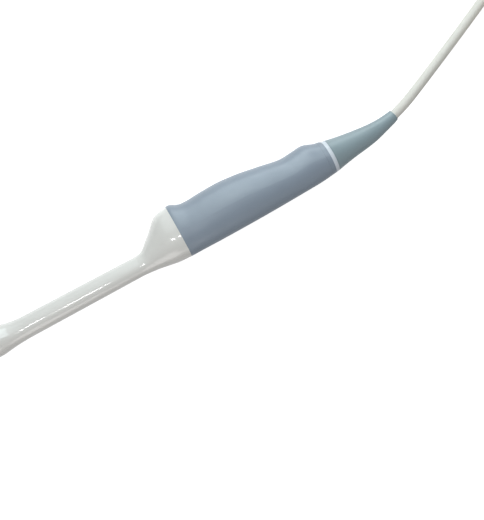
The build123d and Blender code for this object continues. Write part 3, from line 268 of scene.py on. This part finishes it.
def moulded(slot, seen, roughness, grain, mottle=0.03, coat=0.0, refraction=1.5):
    """Moulded plastic or rubber: a faint mottle, a fine grain and slow changes in gloss.

    Seen is its colour on a screen, grain is the grain's size and depth in micrometres, and coat is
    the weight of a clear gloss on top.
    """
    finish = Finish(slot)
    colour = linear(*seen)
    cloud = finish.spread(finish.noise(MOTTLE_SIZE), 0, 1)
    finish.colour(finish.mix(cloud, shade(colour, -mottle), shade(colour, mottle)))
    patches = finish.noise(GLOSS_PATCH_SIZE)
    finish.roughness(finish.spread(patches, roughness - GLOSS_CHANGE, roughness + GLOSS_CHANGE))
    size, depth = (length * MICROMETRE for length in grain)
    finish.bump(finish.noise(size, GRAIN_DETAIL), depth)
    finish.shader.inputs["Coat Weight"].default_value = coat
    finish.shader.inputs["Coat Roughness"].default_value = COAT_ROUGHNESS
    finish.shader.inputs["IOR"].default_value = refraction
    return finish


def metal(slot, seen, roughness, stretch=(1, 1, 1)):
    """Plated or turned metal, whose fine marks are stretched that many times along X, Y and Z."""
    finish = Finish(slot)
    marks = finish.noise(MARK_SIZE, MARK_DETAIL, stretch)
    dark, light = (shade(linear(*seen), share) for share in MARK_SHADES)
    finish.colour(finish.mix(finish.spread(marks, 0, 1), dark, light))
    smooth, rough = (roughness + change for change in MARK_ROUGHNESS)
    finish.roughness(finish.spread(marks, smooth, rough))
    finish.bump(marks, MARK_DEPTH)
    finish.shader.inputs["Metallic"].default_value = 1.0
    return finish


def handle_plastic():
    """The handle's plastic, with the lines that run over both of its shells."""
    finish = moulded("handle_plastic", (117, 130, 145), 0.4, (350, 8), mottle=0.025, refraction=1.8)
    finish.groove("Z", **HANDLE_SEAM)
    # The crease's darkening is painted shade; its bump is real.
    finish.groove("X", **HANDLE_CREASE)
    return finish


def all_finishes():
    """A material for each of the record's slots, by the slot's name."""
    finishes = [
        moulded("ivory_plastic", (220, 217, 212), 0.35, (400, 2), mottle=0.012, coat=0.9),
        handle_plastic(),
        moulded("ring_plastic", (212, 217, 225), 0.3, (400, 4), mottle=0.01),
        moulded("relief_rubber", (121, 139, 146), 0.42, (400, 10), refraction=1.8),
        moulded("lens_rubber", (118, 124, 130), 0.38, (300, 6)),
        moulded("cable_jacket", (224, 219, 211), 0.6, (500, 10), mottle=0.02),
        moulded("matching_resin", (120, 96, 60), 0.4, (400, 5)),
        moulded("piezo_ceramic", (120, 114, 104), 0.5, (300, 6)),
        moulded("backing_rubber", (58, 58, 60), 0.6, (400, 10)),
        moulded("inner_plastic", (70, 74, 80), 0.45, (400, 10)),
        moulded("flex_film", (168, 104, 42), 0.3, (600, 4)),
        metal("shield_metal", (190, 186, 178), 0.35),
        moulded("seal_rubber", (48, 50, 54), 0.6, (400, 10)),
        metal("chassis_metal", (176, 178, 180), 0.4, stretch=(8, 1, 1)),
        moulded("board_laminate", (38, 92, 62), 0.4, (500, 10)),
        moulded("socket_plastic", (44, 46, 50), 0.4, (400, 10)),
        metal("screw_steel", (186, 186, 184), 0.3),
        moulded("wire_jacket", (92, 98, 108), 0.5, (400, 10)),
        moulded("connector_plastic", (206, 207, 204), 0.42, (500, 20)),
        metal("shroud_metal", (188, 190, 192), 0.32, stretch=(6, 1, 1)),
        metal("contact_gold", (222, 178, 92), 0.25),
        moulded("knob_plastic", (96, 106, 120), 0.44, (500, 20)),
    ]
    return {finish.slot: finish.material for finish in finishes}


# The cable


def coil_stages():
    """Rows of the turns made so far, the radius and the height, with smooth changes in between."""
    lanes = (COIL_RADIUS + COIL_PITCH / 2, COIL_RADIUS - COIL_PITCH / 2)
    lane_start, lane_end, climb_start, climb_end = COIL_TIMES
    stages = [(0.0, lanes[0], COIL_PITCH / 2)]
    for layer in range(COIL_LAYERS):
        first, second = (lanes[1], lanes[0]) if layer % 2 else lanes
        height = COIL_PITCH * (layer + 0.5)
        made = 2 * layer
        stages.append((made + lane_start, first, height))
        stages.append((made + lane_end, second, height))
        stages.append((made + climb_start, second, height))
        if layer < COIL_LAYERS - 1:
            stages.append((made + climb_end, second, height + COIL_PITCH))
    return stages + COIL_TOP


def coil_state(stages, turned):
    """The radius and height of the winding after that many turns."""
    start, end = next(pair for pair in zip(stages, stages[1:]) if turned <= pair[1][0])
    share = smooth_step((turned - start[0]) / (end[0] - start[0]))
    return [low + (high - low) * share for low, high in zip(start[1:], end[1:])]


def coil_point(angle, radius, height):
    """A place on the drawing, from its angle and distance about the coil's centre."""
    turn = math.radians(angle)
    return (
        COIL_CENTRE[0] + radius * math.cos(turn),
        COIL_CENTRE[1] + radius * math.sin(turn),
        height,
    )


def coil_turns():
    """The winding's points, from where the cable touches the coil to where it leaves."""
    stages = coil_stages()
    steps = round(COIL_TURNS * 360 / COIL_STEP)
    points = []
    for index in range(steps + 1):
        turned = COIL_TURNS * index / steps
        radius, height = coil_state(stages, turned)
        points.append(coil_point(COIL_ENTRY_ANGLE - 360 * turned, radius, height))
    return points


def cable():
    """The whole cable as one smooth curve, through its coil and up to the plug's boot."""
    route = [place(*point) for point in CABLE_ROUTE + coil_turns() + TAIL_ROUTE]
    curve = bpy.data.curves.new("cable", "CURVE")
    curve.dimensions = "3D"
    curve.resolution_u = CABLE_SMOOTHNESS
    curve.bevel_depth = CABLE_DIAMETER / 2
    curve.bevel_resolution = CABLE_SMOOTHNESS
    curve.use_fill_caps = True
    spline = curve.splines.new("NURBS")
    spline.points.add(len(route) - 1)
    for point, where in zip(spline.points, route):
        point.co = (*where, 1.0)
    spline.order_u = 3
    spline.use_endpoint_u = True
    return new_object("cable", curve)


# The coil's tie


def tie_loop(along):
    """The place and outward direction, in the strap's plane, at a length along its loop."""
    across, up = TIE_STRAIGHTS
    along %= TIE_LOOP
    corners = [(across, up), (across, -up), (-across, -up), (-across, up)]
    runs = [2 * up, 2 * across, 2 * up, 2 * across]
    heading = 0.0
    for corner, following, run in zip(corners, corners[1:] + corners[:1], runs):
        out = Vector((math.cos(heading), math.sin(heading)))
        if along <= run:
            step = Vector((out.y, -out.x))
            return Vector(corner) + out * TIE_CORNER + step * along, out
        along -= run
        if along <= TIE_QUARTER:
            turned = heading - along / TIE_CORNER
            out = Vector((math.cos(turned), math.sin(turned)))
            return Vector(following) + out * TIE_CORNER, out
        along -= TIE_QUARTER
        heading -= math.pi / 2
    # Only rounding leads here, and the loop's end is its start.
    return tie_loop(0.0)


def tie_shape():
    """The strap's vertices and faces, swept along its loop, its end lifted over its start."""
    outward = Vector((math.cos(math.radians(TIE_ANGLE)), math.sin(math.radians(TIE_ANGLE)), 0))
    sideways = Vector((-outward.y, outward.x, 0))
    section = []
    for side, lift in ((-1, -1), (1, -1), (1, 1), (-1, 1)):
        section.append((side * TIE_WIDTH / 2, lift * TIE_THICKNESS / 2))
    vertices = []
    for index in range(TIE_STEPS + 1):
        along = (TIE_LOOP + TIE_OVERLAP) * index / TIE_STEPS
        where, out = tie_loop(along)
        lifted = smooth_step((along - TIE_LOOP + TIE_LIFT_RUN) / TIE_LIFT_RUN)
        where += out * TIE_THICKNESS * lifted
        for aside, lift in section:
            spot = where + out * lift
            centre = Vector((*COIL_CENTRE, TIE_MIDDLE[1] + spot.y))
            point = centre + outward * (TIE_MIDDLE[0] + spot.x) + sideways * aside
            vertices.append(place(*point))
    faces = []
    corners = len(section)
    last = corners * TIE_STEPS
    for first in range(0, last, corners):
        following = first + corners
        for corner in range(corners):
            after = (corner + 1) % corners
            faces.append((first + corner, first + after, following + after, following + corner))
    faces.append((3, 2, 1, 0))
    faces.append((last, last + 1, last + 2, last + 3))
    return vertices, faces


def coil_tie():
    """A rubber strap round the coil's turns, with softened edges."""
    vertices, faces = tie_shape()
    mesh = bpy.data.meshes.new("coil_tie")
    mesh.from_pydata(vertices, [], faces)
    shape = bmesh.new()
    shape.from_mesh(mesh)
    bmesh.ops.recalc_face_normals(shape, faces=shape.faces)
    shape.to_mesh(mesh)
    shape.free()
    for face in mesh.polygons:
        face.use_smooth = True
    piece = new_object("coil_tie", mesh)
    softened = piece.modifiers.new("edges", "BEVEL")
    softened.width = TIE_EDGE
    softened.segments = 2
    return piece


# Camera and light


def turned_to(position, target, up):
    """The matrix of an object at position that looks along its -Z at target."""
    back = (position - target).normalized()
    right = up.cross(back).normalized()
    over = back.cross(right)
    matrix = Matrix((right, over, back)).transposed().to_4x4()
    matrix.translation = position
    return matrix


def camera():
    """The photograph's view, from above and rolled."""
    data = bpy.data.cameras.new("camera")
    data.sensor_width = SENSOR_WIDTH
    data.lens = LENS_PIXELS / PICTURE_LONG_SIDE * SENSOR_WIDTH
    roll = math.radians(CAMERA_ROLL)
    up = Vector((math.sin(roll), math.cos(roll), 0))
    view = new_object("camera", data)
    view.matrix_world = turned_to(place(*CAMERA_AT), place(*LOOK_AT), up)
    bpy.context.scene.camera = view


def lamp(name, position, target, size, watts, tint):
    """A rectangular soft lamp, which the camera doesn't see."""
    data = bpy.data.lights.new(name, "AREA")
    data.shape = "RECTANGLE"
    data.size, data.size_y = size
    data.energy = watts
    data.color = tint
    light = new_object(name, data)
    light.matrix_world = turned_to(place(*position), place(*target), LAMP_UP)
    light.visible_camera = False


def background_rays(tree):
    """One for rays from the camera and those seen in metal or through clear plastic, else zero."""
    rays = tree.nodes.new("ShaderNodeLightPath")
    total = rays.outputs["Is Camera Ray"]
    for kind in ("Is Glossy Ray", "Is Transmission Ray"):
        either = tree.nodes.new("ShaderNodeMath")
        either.operation = "MAXIMUM"
        tree.links.new(total, either.inputs[0])
        tree.links.new(rays.outputs[kind], either.inputs[1])
        total = either.outputs[0]
    return total


def room():
    """A dim even light from all round, which looks white itself."""
    world = bpy.data.worlds.new("studio")
    world.use_nodes = True
    bpy.context.scene.world = world
    tree = world.node_tree
    dim = tree.nodes["Background"]
    dim.inputs["Color"].default_value = ROOM_COLOUR
    dim.inputs["Strength"].default_value = ROOM_STRENGTH
    seen = tree.nodes.new("ShaderNodeBackground")
    seen.inputs["Color"].default_value = WHITE
    seen.inputs["Strength"].default_value = 1.0
    mix = tree.nodes.new("ShaderNodeMixShader")
    tree.links.new(background_rays(tree), mix.inputs["Fac"])
    tree.links.new(dim.outputs[0], mix.inputs[1])
    tree.links.new(seen.outputs[0], mix.inputs[2])
    tree.links.new(mix.outputs[0], tree.nodes["World Output"].inputs["Surface"])


# The floor


def mirrored_glow(tree):
    """How strongly the floor glows in glossy surfaces, by its place across the probe."""
    geometry = tree.nodes.new("ShaderNodeNewGeometry")
    axes = tree.nodes.new("ShaderNodeSeparateXYZ")
    tree.links.new(geometry.outputs["Position"], axes.inputs[0])
    ramp = tree.nodes.new("ShaderNodeMapRange")
    sockets = ("From Min", "From Max", "To Min", "To Max")
    for socket, value in zip(sockets, MIRRORED_BAND + MIRRORED_GLOW):
        ramp.inputs[socket].default_value = value
    tree.links.new(axes.outputs["Y"], ramp.inputs["Value"])
    return ramp.outputs["Result"]


def floor_glow(tree):
    """How strongly the floor glows, by the kind of ray that meets it."""
    strengths = {"Camera": CAMERA_GLOW, "Glossy": mirrored_glow(tree), "Transmission": CLEAR_GLOW}
    rays = tree.nodes.new("ShaderNodeLightPath")
    total = None
    for kind, strength in strengths.items():
        share = tree.nodes.new("ShaderNodeMath")
        share.operation = "MULTIPLY_ADD"
        tree.links.new(rays.outputs[f"Is {kind} Ray"], share.inputs[0])
        if isinstance(strength, float):
            share.inputs[1].default_value = strength
        else:
            tree.links.new(strength, share.inputs[1])
        if total:
            tree.links.new(total, share.inputs[2])
        else:
            share.inputs[2].default_value = 0.0
        total = share.outputs[0]
    return total


def floor_finish():
    """A matt grey that takes the object's shadow, with the glow added to it."""
    material = bpy.data.materials.new("floor")
    material.use_nodes = True
    tree = material.node_tree
    surface = tree.nodes["Principled BSDF"]
    surface.inputs["Base Color"].default_value = FLOOR_COLOUR
    surface.inputs["Roughness"].default_value = FLOOR_ROUGHNESS
    surface.inputs["Specular IOR Level"].default_value = 0.0
    glow = tree.nodes.new("ShaderNodeEmission")
    total = tree.nodes.new("ShaderNodeAddShader")
    tree.links.new(floor_glow(tree), glow.inputs["Strength"])
    tree.links.new(surface.outputs[0], total.inputs[0])
    tree.links.new(glow.outputs[0], total.inputs[1])
    tree.links.new(total.outputs[0], tree.nodes["Material Output"].inputs["Surface"])
    return material


def floor():
    """A pale floor that the camera sees white, apart from the object's shadow."""
    mesh = bpy.data.meshes.new("floor")
    reach = FLOOR_REACH
    corners = [(-reach, -reach, 0), (reach, -reach, 0), (reach, reach, 0), (-reach, reach, 0)]
    mesh.from_pydata(corners, [], [(0, 1, 2, 3)])
    mesh.materials.append(floor_finish())
    piece = new_object("floor", mesh)


# The scene

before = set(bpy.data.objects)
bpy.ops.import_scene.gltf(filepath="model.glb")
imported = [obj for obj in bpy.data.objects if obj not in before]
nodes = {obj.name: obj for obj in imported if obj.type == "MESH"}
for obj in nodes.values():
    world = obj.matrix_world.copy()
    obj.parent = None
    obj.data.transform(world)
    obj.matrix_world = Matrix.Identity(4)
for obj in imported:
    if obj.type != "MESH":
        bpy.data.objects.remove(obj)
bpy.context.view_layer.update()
finishes = all_finishes()
# A node comes with plain materials named after its slots, which its finishes replace.
for node in nodes.values():
    for held in node.material_slots:
        held.material = finishes[held.material.name.split(".")[0]]

cord = cable()
cord.data.materials.append(finishes["cable_jacket"])
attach(cord, "probe")
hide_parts("cable_run", "cable_coil", "cable_tail")
tie = coil_tie()
tie.data.materials.append(finishes["seal_rubber"])
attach(tie, "probe")

camera()
for values in LAMPS:
    lamp(*values)
room()
floor()
bpy.context.scene.view_settings.view_transform = "Standard"
